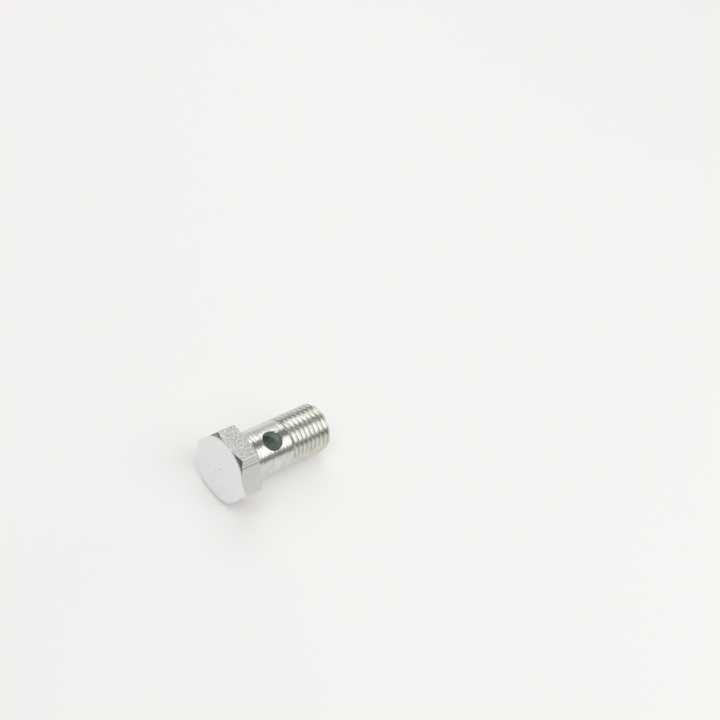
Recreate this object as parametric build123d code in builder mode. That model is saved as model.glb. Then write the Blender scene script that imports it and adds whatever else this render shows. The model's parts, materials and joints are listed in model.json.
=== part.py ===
# Banjo bolt, M14 x 1.5: a hollow hexagon bolt that clamps a ring fitting and feeds it through a cross hole.
# It is one turned piece of zinc plated steel, with no separate parts.
#
# It is first modelled standing on its head: the axis is Z, the bearing face is at z = 0, the head is
# below it and the thread above. It is then laid down as it comes to rest, on one flat of the hexagon and
# on the last crest of the thread, with +X towards the thread and the origin under the middle of its box.

from build123d import *
from math import atan, degrees, radians, tan
import os

os.makedirs("parts", exist_ok=True)

# Head, in millimetres and degrees
across_flats = 19.0
head_height = 6.5
head_face_diameter = 18.9  # flat disc that the chamfer leaves on the outer face
bearing_face_diameter = 21.4  # circle to which the corners are turned on the side of the shank
head_chamfer_angle = 30.0

# Plain shank
shank_diameter = 13.85
plain_length = 13.85  # bearing face to the shoulder in front of the thread
under_head_relief = 0.5  # conical blend between the shank and the bearing face

# Thread, right-handed, with the ISO metric profile
thread_diameter = 13.8  # over the crests
thread_pitch = 1.5
thread_length = 13.55  # shoulder to the end of the bolt
end_face_diameter = 12.4  # what the end chamfer leaves
end_chamfer_length = 1.1
groove_start = 13.0  # height of the groove's middle where its first turn begins, above the underside flat
groove_turns = 11

# Fluid ways
bore_diameter = 8.0
bore_overrun = 1.0  # full bore beyond the cross hole, before the drill point
bore_mouth_chamfer = 0.4
drill_point_angle = 118.0
cross_hole_diameter = 5.6
cross_hole_height = 8.35  # above the bearing face
cross_hole_turn = 17.7  # about the axis, from the middle of the underside flat
cross_hole_edge_break = 0.2

# Radii and heights that follow
shank_radius = shank_diameter / 2
thread_radius = thread_diameter / 2
bore_radius = bore_diameter / 2
face_radius = head_face_diameter / 2
bearing_radius = bearing_face_diameter / 2
bolt_end = plain_length + thread_length
chamfer_start = bolt_end - end_chamfer_length
end_chamfer_depth = (thread_diameter - end_face_diameter) / 2
chamfer_slope = tan(radians(head_chamfer_angle))
turned_reach = 0.65 * across_flats  # radius beyond the corners of the hexagon
bore_floor = cross_hole_height - cross_hole_diameter / 2 - bore_overrun
bore_tip = bore_floor - bore_radius / tan(radians(drill_point_angle / 2))

# ISO metric profile: 60 degrees between flanks, crest an eighth of the pitch wide, root a quarter
flank_slope = tan(radians(30.0))
crest_width = thread_pitch / 8
root_width = thread_pitch / 4
groove_depth = (thread_pitch - crest_width - root_width) / 2 / flank_slope
root_radius = thread_radius - groove_depth
cutter_reach = thread_radius + 0.1  # just clear of the crests, so that neighbouring turns stay apart
cutter_half_width = root_width / 2 + (cutter_reach - root_radius) * flank_slope

# Bar that the turned outline is cut from, and that outline where the cone of the end chamfer is carried outwards
bar_end = bolt_end + 3 * thread_pitch
cone_reach = bearing_radius - 1.0
cone_foot = bolt_end - (cone_reach - end_face_diameter / 2) * end_chamfer_length / end_chamfer_depth

# Resting attitude: the last full crest over the underside flat carries the thread end
last_crest_turns = 8.5
rest_reach = groove_start + last_crest_turns * thread_pitch + crest_width / 2
rest_slope = degrees(atan((across_flats / 2 - thread_radius) / rest_reach))

# Helical groove of the thread: one profile carried up the helix from inside the plain part to past the end
with BuildPart() as thread_groove:
    with BuildLine():
        helix = Helix(
            pitch=thread_pitch,
            height=groove_turns * thread_pitch,
            radius=root_radius,
            center=(0, 0, groove_start),
        )
    with BuildSketch(Plane.XZ):
        with BuildLine():
            Polyline(
                (root_radius, groove_start - root_width / 2),
                (cutter_reach, groove_start - cutter_half_width),
                (cutter_reach, groove_start + cutter_half_width),
                (root_radius, groove_start + root_width / 2),
                close=True,
            )
        make_face()
    sweep(path=helix, is_frenet=True)

    # It starts at the shoulder
    with BuildSketch(Plane.XY):
        Circle(across_flats / 2)
    extrude(amount=plain_length, mode=Mode.SUBTRACT)

with BuildPart() as standing_bolt:
    # Hexagon bar for the head, one flat facing +X, and round bar for the thread
    with BuildSketch(Plane.XY.offset(-head_height)):
        RegularPolygon(radius=across_flats / 2, side_count=6, major_radius=False, rotation=30)
    extrude(amount=head_height)
    with BuildSketch(Plane.YZ):
        with Locations((thread_radius / 2, bar_end / 2)):
            Rectangle(thread_radius, bar_end)
    revolve(axis=Axis.Z)

    # Thread
    add(thread_groove.part, mode=Mode.SUBTRACT)

    # Turned outline: both chamfers of the head, and the chamfer that trims the thread at its end
    with BuildSketch(Plane.YZ):
        with BuildLine():
            Polyline(
                (0, -head_height),
                (face_radius, -head_height),
                (turned_reach, -head_height + (turned_reach - face_radius) * chamfer_slope),
                (turned_reach, -(turned_reach - bearing_radius) * chamfer_slope),
                (bearing_radius, 0),
                (cone_reach, cone_foot),
                (end_face_diameter / 2, bolt_end),
                (0, bolt_end),
                close=True,
            )
        make_face()
    revolve(axis=Axis.Z, mode=Mode.INTERSECT)

    # Plain shank, a shade thicker than the thread, with its blend into the head
    with BuildSketch(Plane.YZ):
        with BuildLine():
            Polyline(
                (bore_radius, 0),
                (shank_radius + under_head_relief, 0),
                (shank_radius, under_head_relief),
                (shank_radius, plain_length),
                (bore_radius, plain_length),
                close=True,
            )
        make_face()
    revolve(axis=Axis.Z)

    # Axial bore, blind, with the cone of the drill at its floor and a small chamfer at its mouth
    with BuildSketch(Plane.YZ):
        with BuildLine():
            Polyline(
                (0, bore_tip),
                (bore_radius, bore_floor),
                (bore_radius, bolt_end - bore_mouth_chamfer),
                (bore_radius + bore_mouth_chamfer, bolt_end),
                (0, bolt_end),
                close=True,
            )
        make_face()
    revolve(axis=Axis.Z, mode=Mode.SUBTRACT)

    # Cross hole, right through both walls
    cross_hole_axis = Vector(1, 0, 0).rotate(Axis.Z, cross_hole_turn)
    with BuildSketch(Plane(origin=(0, 0, cross_hole_height), z_dir=cross_hole_axis)):
        Circle(cross_hole_diameter / 2)
    extrude(amount=across_flats, both=True, mode=Mode.SUBTRACT)
    cross_hole_rims = [
        edge
        for edge in standing_bolt.edges().filter_by(GeomType.BSPLINE)
        if abs(edge.center().Z - cross_hole_height) < cross_hole_diameter / 2
        and Vector((edge @ 0).X, (edge @ 0).Y).length > shank_radius - 0.01
    ]
    chamfer(cross_hole_rims, cross_hole_edge_break)

# The bolt as it lies
with BuildPart() as banjo_bolt:
    with Locations(Rotation(0, 90 + rest_slope, 0)):
        add(standing_bolt.part)

box = banjo_bolt.part.bounding_box()
banjo_bolt.part = banjo_bolt.part.moved(Location((-box.center().X, -box.center().Y, -box.min.Z)))
banjo_bolt.part.label = "banjo_bolt"
export_step(banjo_bolt.part, "parts/banjo_bolt.step")
print("box", banjo_bolt.part.bounding_box(), "solids", len(banjo_bolt.part.solids()))
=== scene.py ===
import json
import math

import bmesh
import bpy
from mathutils import Euler, Matrix, Vector


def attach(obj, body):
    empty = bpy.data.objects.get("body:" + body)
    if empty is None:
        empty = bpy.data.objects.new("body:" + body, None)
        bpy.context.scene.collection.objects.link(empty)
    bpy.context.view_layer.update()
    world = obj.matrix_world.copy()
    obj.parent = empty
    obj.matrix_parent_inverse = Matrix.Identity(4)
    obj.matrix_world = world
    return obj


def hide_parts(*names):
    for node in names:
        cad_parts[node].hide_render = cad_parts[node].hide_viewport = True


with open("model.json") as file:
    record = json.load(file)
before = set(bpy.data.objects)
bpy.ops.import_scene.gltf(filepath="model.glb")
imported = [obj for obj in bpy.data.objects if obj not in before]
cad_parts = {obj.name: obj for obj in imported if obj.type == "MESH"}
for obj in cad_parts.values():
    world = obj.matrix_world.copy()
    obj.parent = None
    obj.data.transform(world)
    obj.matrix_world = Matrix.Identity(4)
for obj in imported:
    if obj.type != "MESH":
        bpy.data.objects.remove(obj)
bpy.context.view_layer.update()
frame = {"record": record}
print("frame loaded")

# Sizes of the bolt in millimetres, standing on its head with the bearing face at z = 0
bolt = {
    "acrossFlats": 19.0,
    "headHeight": 6.5,
    "faceRadius": 9.45,
    "bearingRadius": 10.7,
    "chamferDeg": 30.0,
    "shankRadius": 6.925,
    "plainLength": 13.85,
    "boltEnd": 27.395,  # a hair short of the solid, so the finish stays within its box
    "sharpDeg": 32,  # edges that turn by more than this aren't shaded smooth
}

# Finishes of its faces, in the order of the materials below
finishes = ("turned", "faced", "drawn", "drilled", "threaded", "bruised", "cone")
slotOf = {finish: slot for slot, finish in enumerate(finishes)}

# How it lies: the hexagon's mount in the record gives the axis and a point on it
hexagon = next(mount for mount in frame["record"]["mounts"] if mount["name"] == "spanner_hexagon")
boltAxis = -Vector(hexagon["axis"]).normalized()
restTurn = math.pi / 2 + math.atan2(-boltAxis.z, boltAxis.x)
bearingCentre = Vector(hexagon["pos_m"]) + boltAxis * bolt["headHeight"] / 2000
layDown = Matrix.Translation(bearingCentre) @ Matrix.Rotation(restTurn, 4, "Y") @ Matrix.Scale(0.001, 4)


# Meshes

wholeLine = 9.0  # a step so long that the line of a profile stays in one piece
wallLean = 0.3  # share of a face's normal along the axis up to which the face is a wall


def toObject(bm, name, materials):
    mesh = bpy.data.meshes.new(name)
    bm.to_mesh(mesh)
    bm.free()
    piece = bpy.data.objects.new(name, mesh)
    bpy.context.scene.collection.objects.link(piece)
    for material in materials:
        mesh.materials.append(material)
    return piece


def profileLine(bm, points, steps):
    for start, end, step in zip(points, points[1:], steps):
        edge = bm.edges.new([bm.verts.new((r, 0, z)) for r, z in (start, end)])
        cuts = int(edge.calc_length() / step)
        if cuts:
            bmesh.ops.subdivide_edges(bm, edges=[edge], cuts=cuts)
    bmesh.ops.remove_doubles(bm, verts=bm.verts, dist=1e-5)


def spinRound(bm, steps):
    bmesh.ops.spin(
        bm, geom=bm.verts[:] + bm.edges[:], cent=(0, 0, 0), axis=(0, 0, 1), dvec=(0, 0, 0),
        angle=math.tau, steps=steps, use_merge=True, use_normal_flip=False, use_duplicate=False,
    )
    bmesh.ops.remove_doubles(bm, verts=bm.verts, dist=1e-4)
    bmesh.ops.recalc_face_normals(bm, faces=bm.faces)


def softMin(a, b, width):
    blend = max(width - abs(a - b), 0.0) / width
    return min(a, b) - blend * blend * width / 4


def arc(centre, radius, startDeg, endDeg, count):
    turns = [math.radians(startDeg + (endDeg - startDeg) * k / count) for k in range(count + 1)]
    return [(centre[0] + radius * math.cos(t), centre[1] + radius * math.sin(t)) for t in turns]


# Head and plain shank, turned as one form, then the hexagon is pressed into the head

headShape = {
    "ringSteps": 288,
    "turnedReach": 11.4,  # beyond the corners of the hexagon
    "filletRadius": 0.6,
    "filletSteps": 8,
    "edgeSoftness": 0.26,  # how far the worn edges are rounded
    "pressedBeyond": 7.6,  # radius from which the turned form is pressed to the hexagon
    "cornerGather": 0.11,  # draws ring points towards the corners
    "gatherOver": 1.4,  # and how far out from there it takes full hold
    "discEdge": ((-0.5, 0.0), (-0.06, 0.004), (0.06, 0.045)),  # points of the worn edge: outwards, up
    "bearingEdge": ((0.1, -0.075), (-0.1, -0.022), (-0.5, 0.0)),
    "headSteps": (0.6, 0.1, 0.06, 0.06, 0.22, 0.08, 0.08, 0.08, 0.25),  # mesh step on each line of the head
    "shoulderEase": 0.1,
    "smoothFlat": Vector((-0.5, -0.866)),  # way in which the one flat with draw lines faces
    "toolMark": (3.2, 0.012, 0.1),  # place, depth and half width of the faint ring round the shank
    "mergeWithin": 0.004,
    "discWithin": 0.02,  # faces this near the top are the disc's
    "flatWithin": 0.3,  # and those this near the plane of the smooth flat are that flat's
}


def headAndShank():
    slope = math.tan(math.radians(bolt["chamferDeg"]))
    top, reach = -bolt["headHeight"], headShape["turnedReach"]
    face, bearing, shank = bolt["faceRadius"], bolt["bearingRadius"], bolt["shankRadius"]
    foot, ease, end = headShape["filletRadius"], headShape["shoulderEase"], bolt["plainLength"]
    bm = bmesh.new()
    points = [(0, top)] + [(face + out, top + up) for out, up in headShape["discEdge"]]
    points += [(reach, top + (reach - face) * slope), (reach, -(reach - bearing) * slope)]
    points += [(bearing + out, up) for out, up in headShape["bearingEdge"]]
    steps = list(headShape["headSteps"])
    fillet = arc((shank + foot, foot), foot, 270, 180, headShape["filletSteps"])
    points += fillet
    steps += [1.0] * len(fillet)
    mark, markDepth, markHalf = headShape["toolMark"]
    points += [(shank, mark - markHalf), (shank - markDepth, mark), (shank, mark + markHalf)]
    steps += [1.0, 1.0]
    points += [(shank, end - ease), (shank - ease, end), (0, end)]
    steps += [0.5, 1.0, wholeLine]
    profileLine(bm, points, steps)
    spinRound(bm, headShape["ringSteps"])
    half, soft = bolt["acrossFlats"] / 2, headShape["edgeSoftness"]
    inner = headShape["pressedBeyond"]
    for vert in bm.verts:
        radius = vert.co.xy.length
        if vert.co.z > 0.001 or radius < inner:
            continue
        gather = headShape["cornerGather"] * min(1.0, (radius - inner) / headShape["gatherOver"])
        turn = math.atan2(vert.co.y, vert.co.x)
        turn -= gather * math.sin(6 * (turn - math.pi / 6))
        flats = sorted(half / max(math.cos(turn - k * math.pi / 3), 0.01) for k in range(6))
        radius = softMin(radius, softMin(flats[0], flats[1], soft), soft)
        vert.co.x, vert.co.y = radius * math.cos(turn), radius * math.sin(turn)
    bmesh.ops.remove_doubles(bm, verts=bm.verts, dist=headShape["mergeWithin"])
    bmesh.ops.dissolve_degenerate(bm, edges=bm.edges, dist=headShape["mergeWithin"])
    bmesh.ops.recalc_face_normals(bm, faces=bm.faces)
    for face in bm.faces:
        centre = face.calc_center_median()
        if centre.z < top + headShape["discWithin"]:
            face.material_index = slotOf["faced"]
        elif centre.z < 0 and abs(face.normal.z) < wallLean:
            smooth = centre.xy.dot(headShape["smoothFlat"]) > half - headShape["flatWithin"]
            face.material_index = slotOf["drawn" if smooth else "bruised"]
        elif centre.z < 0 and face.normal.z < 0:
            face.material_index = slotOf["cone"]
    return bm


# Thread: a rounded ISO profile spun up the helix

threadShape = {
    "pitch": 1.5,
    "crestRadius": 6.9,
    "rootRadius": 6.088,
    "grooveAt": 13.0,  # height of a groove's middle on the underside flat
    "crestFlat": 0.19,
    "flankDeg": 30.0,
    "softness": 0.09,
    "profilePoints": 24,
    "turnSteps": 144,
    "turns": 11,
    "startAt": 13.2,  # hidden in the shank
    "endRadius": 6.2,
    "endChamfer": 1.1,
    "endSoftness": 0.08,
    "runOut": (13.7, 14.1),  # the groove deepens from nothing to full between these heights
}


def threadedEnd():
    shape = threadShape
    pitch, count = shape["pitch"], shape["profilePoints"]
    flank = math.tan(math.radians(shape["flankDeg"]))
    bm = bmesh.new()
    ring = []
    for k in range(count + 1):
        offset = abs(k / count - 0.5) * pitch  # from the middle of the crest
        radius = shape["crestRadius"] - (offset - shape["crestFlat"] / 2) / flank
        radius = softMin(radius, shape["crestRadius"], shape["softness"])
        radius = -softMin(-radius, -shape["rootRadius"], shape["softness"])
        ring.append(bm.verts.new((radius, 0, shape["grooveAt"] - pitch + k * pitch / count)))
    for pair in zip(ring, ring[1:]):
        bm.edges.new(pair)
    bmesh.ops.spin(
        bm, geom=bm.verts[:] + bm.edges[:], cent=(0, 0, 0), axis=(0, 0, 1),
        dvec=(0, 0, pitch / shape["turnSteps"]), angle=math.tau, steps=shape["turnSteps"],
        use_merge=False, use_normal_flip=False, use_duplicate=False,
    )
    oneTurn = bm.verts[:] + bm.edges[:] + bm.faces[:]
    for turn in range(1, shape["turns"]):
        copied = bmesh.ops.duplicate(bm, geom=oneTurn)["geom"]
        climbing = [item for item in copied if isinstance(item, bmesh.types.BMVert)]
        bmesh.ops.translate(bm, vec=(0, 0, turn * pitch), verts=climbing)
    bmesh.ops.remove_doubles(bm, verts=bm.verts, dist=0.002)
    slope = shape["endChamfer"] / (shape["crestRadius"] - shape["endRadius"])
    shallow, full = shape["runOut"]
    for vert in bm.verts:
        radius = vert.co.xy.length
        depth = min(max((vert.co.z - shallow) / (full - shallow), 0.0), 1.0)
        lift = (shape["crestRadius"] - radius) * (1 - depth * depth * (3 - 2 * depth))
        vert.co.xy *= (radius + lift) / radius
        radius += lift
        cone = shape["endRadius"] + (bolt["boltEnd"] - vert.co.z) / slope
        vert.co.xy *= softMin(radius, cone, shape["endSoftness"]) / radius
    for height, way in ((shape["startAt"], -1), (bolt["boltEnd"], 1)):
        cut = bmesh.ops.bisect_plane(
            bm, geom=bm.verts[:] + bm.edges[:] + bm.faces[:], dist=1e-5,
            plane_co=(0, 0, height), plane_no=(0, 0, way), clear_outer=True, clear_inner=False,
        )
        rim = [item for item in cut["geom_cut"] if isinstance(item, bmesh.types.BMEdge)]
        bmesh.ops.edgeloop_fill(bm, edges=rim)
    bmesh.ops.recalc_face_normals(bm, faces=bm.faces)
    for face in bm.faces:
        face.material_index = slotOf["threaded"]
    return bm


# Tools that cut the fluid ways

wayShape = {
    "boreRadius": 4.0,
    "boreFloor": 4.55,
    "boreTip": 2.147,
    "mouthChamfer": 0.4,
    "crossRadius": 2.8,
    "crossHeight": 8.35,
    "crossTurnDeg": 17.7,
    "crossReach": 8.2,  # clear of the shank on both sides
    "edgeBreak": 0.2,
    "fineBeyond": 5.6,  # from here outwards the wall is meshed finely, for the broken edge
    "fineStep": 0.06,
    "wallStep": 0.5,
    "mouthStep": 0.2,
    "roundSteps": 144,
}


def boreTool():
    shape, end = wayShape, bolt["boltEnd"]
    radius, mouth = shape["boreRadius"], shape["mouthChamfer"]
    bm = bmesh.new()
    points = [(0, shape["boreTip"]), (radius, shape["boreFloor"]), (radius, end - mouth)]
    points += [(radius + 2 * mouth, end + mouth), (0, end + mouth)]
    profileLine(bm, points, [shape["wallStep"], shape["wallStep"], shape["mouthStep"], wholeLine])
    spinRound(bm, shape["roundSteps"])
    for face in bm.faces:
        inside = face.calc_center_median().z < end - mouth
        face.material_index = slotOf["drilled" if inside else "turned"]
    return bm


def crossTool():
    shape = wayShape
    radius, reach, fine = shape["crossRadius"], shape["crossReach"], shape["fineBeyond"]
    bm = bmesh.new()
    points = [(0, -reach), (radius, -reach), (radius, -fine), (radius, fine), (radius, reach), (0, reach)]
    profileLine(bm, points, [wholeLine, shape["fineStep"], 1.0, shape["fineStep"], wholeLine])
    spinRound(bm, shape["roundSteps"])
    for vert in bm.verts:
        across = vert.co.y
        if vert.co.xy.length < radius / 2:
            continue
        leaves = math.sqrt(bolt["shankRadius"] ** 2 - across ** 2)  # where this line meets the shank
        flare = max(0.0, abs(vert.co.z) - leaves + shape["edgeBreak"])
        vert.co.xy *= (radius + flare) / radius
    bm.normal_update()
    for face in bm.faces:
        face.material_index = slotOf["drilled" if abs(face.normal.z) < wallLean else "turned"]
    turn = math.radians(shape["crossTurnDeg"])
    place = Matrix.Translation((0, 0, shape["crossHeight"])) @ Matrix.Rotation(turn, 4, "Z")
    bmesh.ops.transform(bm, matrix=place @ Matrix.Rotation(math.pi / 2, 4, "Y"), verts=bm.verts)
    return bm


# A small burr that the drill left on the rim of the cross hole

burr = {"place": (-6.92, -0.23, 10.5), "reach": 0.7, "push": 0.5}


def raiseBurr(bm):
    place = Vector(burr["place"])
    turn = math.radians(wayShape["crossTurnDeg"])
    along = Vector((math.cos(turn), math.sin(turn), 0))
    middle = Vector((0, 0, wayShape["crossHeight"]))
    middle += along * (place - middle).dot(along)
    inwards = (middle - place).normalized()
    for vert in bm.verts:
        near = max(0.0, 1 - (vert.co - place).length / burr["reach"])
        vert.co += inwards * near * near * burr["push"]


# Materials

noiseMiddle = (0.35, 0.65)  # most of a noise lies between these two, and nearly all of it between the next
noiseWhole = (0.3, 0.7)


def linear(hexColour):
    parts = [int(hexColour[k:k + 2], 16) / 255 for k in (1, 3, 5)]
    return [p / 12.92 if p <= 0.04045 else ((p + 0.055) / 1.055) ** 2.4 for p in parts] + [1.0]


def addNode(material, kind, settings, links=None):
    tree = material.node_tree
    node = tree.nodes.new("ShaderNode" + kind)
    for key, value in settings.items():
        if isinstance(key, str) and hasattr(node, key):
            setattr(node, key, value)
        else:
            node.inputs[key].default_value = value
    for key, source in (links or {}).items():
        socket = source if isinstance(source, bpy.types.NodeSocket) else source.outputs[0]
        tree.links.new(socket, node.inputs[key])
    return node


def newZinc(name):
    material = bpy.data.materials.new(name)
    material.use_nodes = True
    tree = material.node_tree
    tree.nodes.remove(tree.nodes["Principled BSDF"])
    corner = addNode(material, "TexCoord", {})
    inBolt = addNode(material, "Mapping", {
        "vector_type": "TEXTURE", "Location": bearingCentre,
        "Rotation": Euler((0, restTurn, 0)), "Scale": (0.001, 0.001, 0.001),
    }, {"Vector": corner.outputs["Object"]})  # millimetres along the standing bolt
    return material, inBolt


def finishZinc(material, settings, links):
    shader = addNode(material, "BsdfPrincipled", {"Metallic": 1.0, **settings}, links)
    output = material.node_tree.nodes["Material Output"]
    material.node_tree.links.new(shader.outputs[0], output.inputs["Surface"])
    return material


# Bright zinc over a turned surface: the tool's fine rings catch the light as short dashes
turnedLook = {
    "dark": "#d2d3cd",
    "light": "#e1e2dc",
    "roughness": (0.14, 0.24),
    "ringsPerMm": (0.3, 0.3, 1.9),
    "ringDepth": 0.00006,
    "finePerMm": (1.2, 1.2, 3.4),
    "fineDepth": 0.000022,
    "stainsPerMm": (0.35, 0.35, 0.5),
}


# On the cut thread the passivation is a little yellower, and the tool's marks are finer
threadLook = {
    "dark": "#d4d4cd",
    "light": "#e6e6df",
    "roughness": (0.17, 0.27),
    "ringsPerMm": (0.6, 0.6, 2.0),
    "ringDepth": 0.00002,
    "finePerMm": (1.6, 1.6, 5.0),
    "fineDepth": 0.0000018,
    "stainsPerMm": (0.35, 0.35, 0.5),
}


def zincTurned(name, look):
    material, inBolt = newZinc(name)
    waves = []
    for perMm, detail in ((look["ringsPerMm"], 3), (look["finePerMm"], 2), (look["stainsPerMm"], 4)):
        scaled = addNode(material, "VectorMath", {"operation": "MULTIPLY", 1: perMm}, {0: inBolt})
        waves.append(addNode(material, "TexNoise", {"Scale": 1.0, "Detail": detail}, {"Vector": scaled}))
    rings, fine, stains = waves
    normal = addNode(material, "Bump", {"Distance": look["ringDepth"]}, {"Height": rings})
    normal = addNode(material, "Bump", {"Distance": look["fineDepth"]}, {"Height": fine, "Normal": normal})
    shade = addNode(material, "MapRange", {
        "From Min": noiseMiddle[0], "From Max": noiseMiddle[1]}, {"Value": stains})
    colour = addNode(material, "Mix", {
        "data_type": "RGBA", 6: linear(look["dark"]), 7: linear(look["light"])}, {0: shade})
    dull = addNode(material, "MapRange", {
        "From Min": noiseWhole[0], "From Max": noiseWhole[1],
        "To Min": look["roughness"][0], "To Max": look["roughness"][1],
    }, {"Value": fine})
    return finishZinc(material, {}, {"Base Color": colour.outputs[2], "Roughness": dull, "Normal": normal})


# The cone turned on the head's corners: on one side its corners carry a painted dark reflection, a dull
# brown-grey
coneLook = {
    "light": "#eeece6",
    "stain": "#8b8882",
    "roughness": 0.28,
    "paintedReflectionBeyond": (9.55, 9.9),  # radius over which the painted dark reflection sets in
    "stainSide": (-2.0, -6.0),  # and place across the head
    "blotchPerMm": 1.6,
    "blotchSpan": (0.3, 0.6),  # noise values between which the painted dark reflection goes from thin to full
    "paintedReflectionThin": 0.6,
    "ringDepth": 0.000012,
}


def zincCone():
    look = coneLook
    material, inBolt = newZinc("zincPlatedConeTurnedSteel")
    inPlane = addNode(material, "VectorMath", {"operation": "MULTIPLY", 1: (1, 1, 0)}, {0: inBolt})
    radius = addNode(material, "VectorMath", {"operation": "LENGTH"}, {0: inPlane}).outputs["Value"]
    side = addNode(material, "SeparateXYZ", {}, {0: inBolt})
    outer = addNode(material, "MapRange", {
        "From Min": look["paintedReflectionBeyond"][0], "From Max": look["paintedReflectionBeyond"][1]}, {"Value": radius})
    across = addNode(material, "MapRange", {
        "From Min": look["stainSide"][0], "From Max": look["stainSide"][1]}, {"Value": side})
    blotch = addNode(material, "TexNoise", {"Scale": look["blotchPerMm"], "Detail": 3.0}, {"Vector": inBolt})
    uneven = addNode(material, "MapRange", {
        "From Min": look["blotchSpan"][0], "From Max": look["blotchSpan"][1], "To Min": look["paintedReflectionThin"],
    }, {"Value": blotch})
    # painted dark reflection: darker towards the outer corners on one side of the head, unevenly
    stain = addNode(material, "Math", {"operation": "MULTIPLY"}, {0: outer, 1: across})
    stain = addNode(material, "Math", {"operation": "MULTIPLY"}, {0: stain, 1: uneven})
    colour = addNode(material, "Mix", {
        "data_type": "RGBA", 6: linear(look["light"]), 7: linear(look["stain"])}, {0: stain})
    normal = addNode(material, "Bump", {"Distance": look["ringDepth"]}, {"Height": blotch})
    return finishZinc(material, {"Roughness": look["roughness"]}, {
        "Base Color": colour.outputs[2], "Normal": normal})


# The same plating over the faced end of the bar: satin and nearly even, with the lathe's pip in the middle
# drawn only as a painted dark spot of shade
facedLook = {
    "dark": "#e9edee",
    "light": "#f4f7f8",
    "roughness": 0.42,
    "mottlePerMm": 1.1,
    "mottleDepth": 0.000005,
    "pipEdge": (0.12, 0.28),  # radius over which the lathe's pip ends
    "pipPaintedShade": "#8d9696",
}


def zincFaced():
    look = facedLook
    material, inBolt = newZinc("zincPlatedFacedSteel")
    mottle = addNode(material, "TexNoise", {
        "Scale": look["mottlePerMm"], "Detail": 5.0, "Roughness": 0.6}, {"Vector": inBolt})
    inPlane = addNode(material, "VectorMath", {"operation": "MULTIPLY", 1: (1, 1, 0)}, {0: inBolt})
    fromMiddle = addNode(material, "VectorMath", {"operation": "LENGTH"}, {0: inPlane})
    pip = addNode(material, "MapRange", {
        "From Min": look["pipEdge"][0], "From Max": look["pipEdge"][1],
    }, {"Value": fromMiddle.outputs["Value"]})
    cloud = addNode(material, "MapRange", {
        "From Min": noiseWhole[0], "From Max": noiseWhole[1]}, {"Value": mottle})
    colour = addNode(material, "Mix", {
        "data_type": "RGBA", 6: linear(look["dark"]), 7: linear(look["light"])}, {0: cloud})
    # painted shade: a dark spot where the lathe's pip stands, in place of the nub and its shadow
    colour = addNode(material, "Mix", {
        "data_type": "RGBA", 6: linear(look["pipPaintedShade"])}, {0: pip, 7: colour.outputs[2]})
    normal = addNode(material, "Bump", {"Distance": look["mottleDepth"]}, {"Height": mottle})
    return finishZinc(material, {"Roughness": look["roughness"]}, {
        "Base Color": colour.outputs[2], "Normal": normal})


# Drawn hexagon bar under the plating. Tumbling has bruised most flats, so they sparkle like coarse salt
bruisedLook = {
    "dark": "#868784",
    "light": "#e6e7e4",
    "roughness": (0.2, 0.3),
    "grainPerMm": 3.6,  # coarser than the real grain, which is too fine to show
    "grainDepth": 0.00004,
    "lines": (),
}
# One flat has kept the smooth skin of the drawing die, with its draw lines along the bar
drawnLook = {
    "dark": "#dfe0dd",
    "light": "#e7e8e5",
    "roughness": (0.24, 0.3),
    "grainPerMm": 3.4,
    "grainDepth": 0.000009,
    "across": (0.866, -0.5, 0.0),  # from side to side of that flat
    "lines": ((-2.92, 0.12, 0.85), (-3.85, 0.09, 0.35), (-4.55, 0.09, 0.25)),  # place, half width, strength
    "lineBlur": 0.6,
    "lineColour": "#6f706d",
}


def zincDrawn(name, look):
    material, inBolt = newZinc(name)
    grain = addNode(material, "TexNoise", {
        "Scale": look["grainPerMm"], "Detail": 3.0, "Roughness": 0.65}, {"Vector": inBolt})
    shade = addNode(material, "MapRange", {
        "From Min": noiseMiddle[0], "From Max": noiseMiddle[1]}, {"Value": grain})
    colour = addNode(material, "Mix", {
        "data_type": "RGBA", 6: linear(look["dark"]), 7: linear(look["light"])}, {0: shade})
    for place, halfWidth, strength in look["lines"]:
        across = addNode(material, "VectorMath", {"operation": "DOT_PRODUCT", 1: look["across"]}, {0: inBolt})
        gap = addNode(material, "Math", {"operation": "SUBTRACT", 1: place}, {0: across.outputs["Value"]})
        gap = addNode(material, "Math", {"operation": "ABSOLUTE"}, {0: gap})
        line = addNode(material, "MapRange", {
            "From Min": halfWidth * (1 - look["lineBlur"]), "From Max": halfWidth * (1 + look["lineBlur"]),
            "To Min": strength, "To Max": 0.0,
        }, {"Value": gap})
        colour = addNode(material, "Mix", {
            "data_type": "RGBA", 7: linear(look["lineColour"])}, {0: line, 6: colour.outputs[2]})
    normal = addNode(material, "Bump", {"Distance": look["grainDepth"]}, {"Height": grain})
    dull = addNode(material, "MapRange", {
        "From Min": noiseWhole[0], "From Max": noiseWhole[1],
        "To Min": look["roughness"][0], "To Max": look["roughness"][1],
    }, {"Value": grain})
    return finishZinc(material, {}, {"Base Color": colour.outputs[2], "Roughness": dull, "Normal": normal})


# Inside the drilled ways the plating is thin and dull, a grey with some green in it, and the colour is also
# darkened as painted shade of the hollow
drilledLook = {
    "dark": "#b6c2ba",
    "light": "#d4ded7",
    "paintedLitWall": "#f4f6f2",
    "paintedLitWallBeyond": (4.1, 4.7),  # radius over which the bore passes into the cross hole's wall, brightened with painted light
    "paintedRimShade": "#6d6e66",
    "paintedRimShadeBeyond": (6.1, 6.7),  # and over which that wall goes dark towards its rim with painted shade
    "roughness": 0.5,
    "blotchPerMm": 1.2,
}


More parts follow.
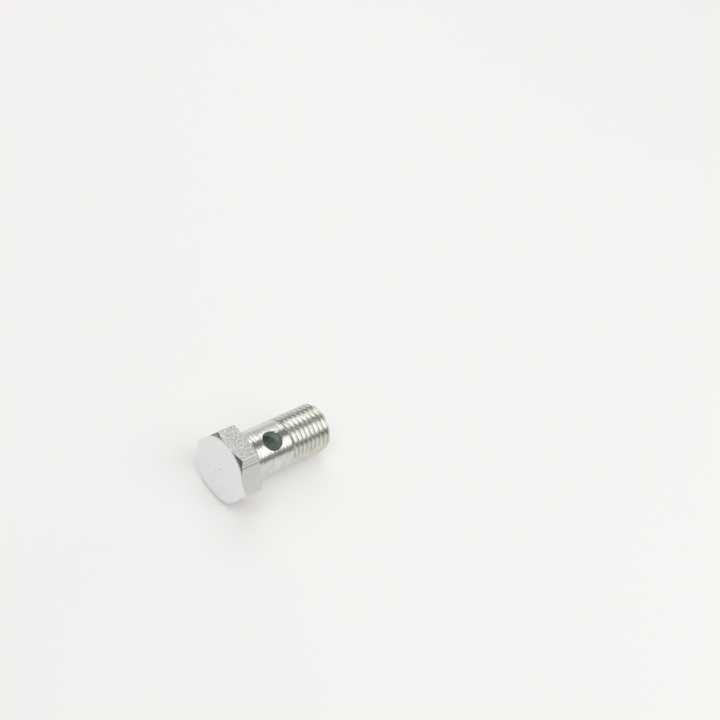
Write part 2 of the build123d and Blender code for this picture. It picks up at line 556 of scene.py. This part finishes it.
def zincDrilled():
    look = drilledLook
    material, inBolt = newZinc("zincPlatedDrilledSteel")
    blotch = addNode(material, "TexNoise", {"Scale": look["blotchPerMm"], "Detail": 3.0}, {"Vector": inBolt})
    shade = addNode(material, "MapRange", {
        "From Min": noiseMiddle[0], "From Max": noiseMiddle[1]}, {"Value": blotch})
    colour = addNode(material, "Mix", {
        "data_type": "RGBA", 6: linear(look["dark"]), 7: linear(look["light"])}, {0: shade})
    inPlane = addNode(material, "VectorMath", {"operation": "MULTIPLY", 1: (1, 1, 0)}, {0: inBolt})
    radius = addNode(material, "VectorMath", {"operation": "LENGTH"}, {0: inPlane})
    # painted light on the cross hole's wall, then painted shade towards its rim
    for tone in ("paintedLitWall", "paintedRimShade"):
        start, end = look[tone + "Beyond"]
        place = addNode(material, "MapRange", {
            "From Min": start, "From Max": end}, {"Value": radius.outputs["Value"]})
        colour = addNode(material, "Mix", {
            "data_type": "RGBA", 7: linear(look[tone])}, {0: place, 6: colour.outputs[2]})
    return finishZinc(material, {"Roughness": look["roughness"]}, {"Base Color": colour.outputs[2]})


made = {
    "turned": zincTurned("zincPlatedTurnedSteel", turnedLook),
    "faced": zincFaced(),
    "drawn": zincDrawn("zincPlatedDrawnSteel", drawnLook),
    "drilled": zincDrilled(),
    "threaded": zincTurned("zincPlatedThreadedSteel", threadLook),
    "bruised": zincDrawn("zincPlatedBruisedSteel", bruisedLook),
    "cone": zincCone(),
}
materials = [made[finish] for finish in finishes]
print("materials made")


# The bolt is joined and drilled in millimetres, then laid down

def combine(base, tool, operation):
    step = base.modifiers.new(operation, "BOOLEAN")
    step.operation, step.solver, step.object = operation, "EXACT", tool
    bpy.context.view_layer.update()
    result = bpy.data.meshes.new_from_object(base.evaluated_get(bpy.context.evaluated_depsgraph_get()))
    base.modifiers.clear()
    base.data = result
    bpy.data.objects.remove(tool)


piece = toObject(headAndShank(), "banjoBoltSurface", materials)
for shape, operation in ((threadedEnd, "UNION"), (boreTool, "DIFFERENCE"), (crossTool, "DIFFERENCE")):
    combine(piece, toObject(shape(), shape.__name__, materials), operation)
    print(shape.__name__, operation.lower(), len(piece.data.polygons))
bm = bmesh.new()
bm.from_mesh(piece.data)
bmesh.ops.remove_doubles(bm, verts=bm.verts, dist=1e-4)
raiseBurr(bm)
bmesh.ops.transform(bm, matrix=layDown, verts=bm.verts)
bmesh.ops.recalc_face_normals(bm, faces=bm.faces)
print("open edges", sum(not edge.is_manifold for edge in bm.edges))
bm.to_mesh(piece.data)
bm.free()
piece.data.shade_smooth()
piece.data.set_sharp_from_angle(angle=math.radians(bolt["sharpDeg"]))
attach(piece, "root")
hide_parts("banjo_bolt")


# Stage: pale floor, camera, soft lights placed by where the shank mirrors them

stage = {
    "floorSize": 40.0,
    "floorColour": "#f4f2f0",
    "floorRoughness": 0.7,
    "glowColour": "#fbfaf8",
    "floorGlow": 0.3,  # share of the floor that the camera and the metal see as evenly lit
    "worldColour": "#ffffff",
    "worldStrength": 0.25,
    "cameraPlace": (-0.27089322, -0.2373782, 0.47373605),
    "cameraTurn": (39.4384, -10.7115, -38.7727),
    "lens": 108.0244,
    "lampsAim": 0.008,  # metres along the shank from the bearing face
}
# Each soft box is an ellipse: degrees round the shank from the camera's side, share of its way along it,
# distance, size round and along the shank, and how bright it looks beside white paper
softBoxes = [
    {"round": -65, "along": 0.245, "away": 0.6, "width": 0.45, "length": 0.45, "bright": 1.66},
    {"round": 8, "along": 0.26, "away": 0.6, "width": 0.58, "length": 0.58, "bright": 1.5},
    {"round": -104, "along": 0.53, "away": 0.6, "width": 0.42, "length": 0.6, "bright": 0.42},
    {"round": -22, "along": -0.35, "away": 0.9, "width": 0.8, "length": 0.8, "bright": 2.1},
    {"round": -109, "along": -0.89, "away": 0.7, "width": 0.28, "length": 0.34, "bright": 1.2},
    {"round": -28, "along": 0.97, "away": 0.9, "width": 0.7, "length": 0.5, "bright": 1.2},
]


def setStage():
    bm = bmesh.new()
    bmesh.ops.create_grid(bm, x_segments=1, y_segments=1, size=stage["floorSize"] / 2)
    material = bpy.data.materials.new("palePaper")
    material.use_nodes = True
    paper = material.node_tree.nodes["Principled BSDF"]
    paper.inputs["Base Color"].default_value = linear(stage["floorColour"])
    paper.inputs["Roughness"].default_value = stage["floorRoughness"]
    ray = addNode(material, "LightPath", {})
    seen = addNode(material, "Math", {"operation": "ADD"}, {
        0: ray.outputs["Is Camera Ray"], 1: ray.outputs["Is Glossy Ray"]})
    seen = addNode(material, "Math", {"operation": "ADD", "use_clamp": True}, {
        0: seen, 1: ray.outputs["Is Transmission Ray"]})
    share = addNode(material, "Math", {"operation": "MULTIPLY", 1: stage["floorGlow"]}, {0: seen})
    glow = addNode(material, "Emission", {"Color": linear(stage["glowColour"]), "Strength": 1.0})
    mixed = addNode(material, "MixShader", {}, {0: share, 1: paper, 2: glow})
    output = material.node_tree.nodes["Material Output"]
    material.node_tree.links.new(mixed.outputs[0], output.inputs["Surface"])
    toObject(bm, "floor", [material])
    world = bpy.data.worlds.new("softRoom")
    bpy.context.scene.world = world
    world.use_nodes = True
    background = world.node_tree.nodes["Background"]
    background.inputs["Color"].default_value = linear(stage["worldColour"])
    background.inputs["Strength"].default_value = stage["worldStrength"]
    camera = bpy.data.objects.new("camera", bpy.data.cameras.new("camera"))
    camera.data.lens = stage["lens"]
    camera.location = stage["cameraPlace"]
    camera.rotation_euler = Euler([math.radians(t) for t in stage["cameraTurn"]])
    bpy.context.scene.collection.objects.link(camera)
    bpy.context.scene.camera = camera
    middle = bearingCentre + boltAxis * stage["lampsAim"]
    toCamera = (camera.location - middle).normalized()
    side = (toCamera - boltAxis * toCamera.dot(boltAxis)).normalized()
    other = boltAxis.cross(side)
    for box in softBoxes:
        turn, along = math.radians(box["round"]), box["along"]
        outwards = side * math.cos(turn) + other * math.sin(turn)
        way = boltAxis * along + outwards * math.sqrt(1 - along * along)
        tangent = boltAxis.cross(way).normalized()
        light = bpy.data.lights.new("softBox", "AREA")
        light.shape, light.size, light.size_y = "ELLIPSE", box["width"], box["length"]
        light.energy = box["bright"] * math.pi * (math.pi / 4) * box["width"] * box["length"]
        lamp = bpy.data.objects.new("softBox", light)
        facing = Matrix((tangent, way.cross(tangent), way)).transposed().to_4x4()
        lamp.matrix_world = Matrix.Translation(middle + way * box["away"]) @ facing
        bpy.context.scene.collection.objects.link(lamp)
    bpy.context.scene.view_settings.view_transform = "Standard"


setStage()
print("stage set")
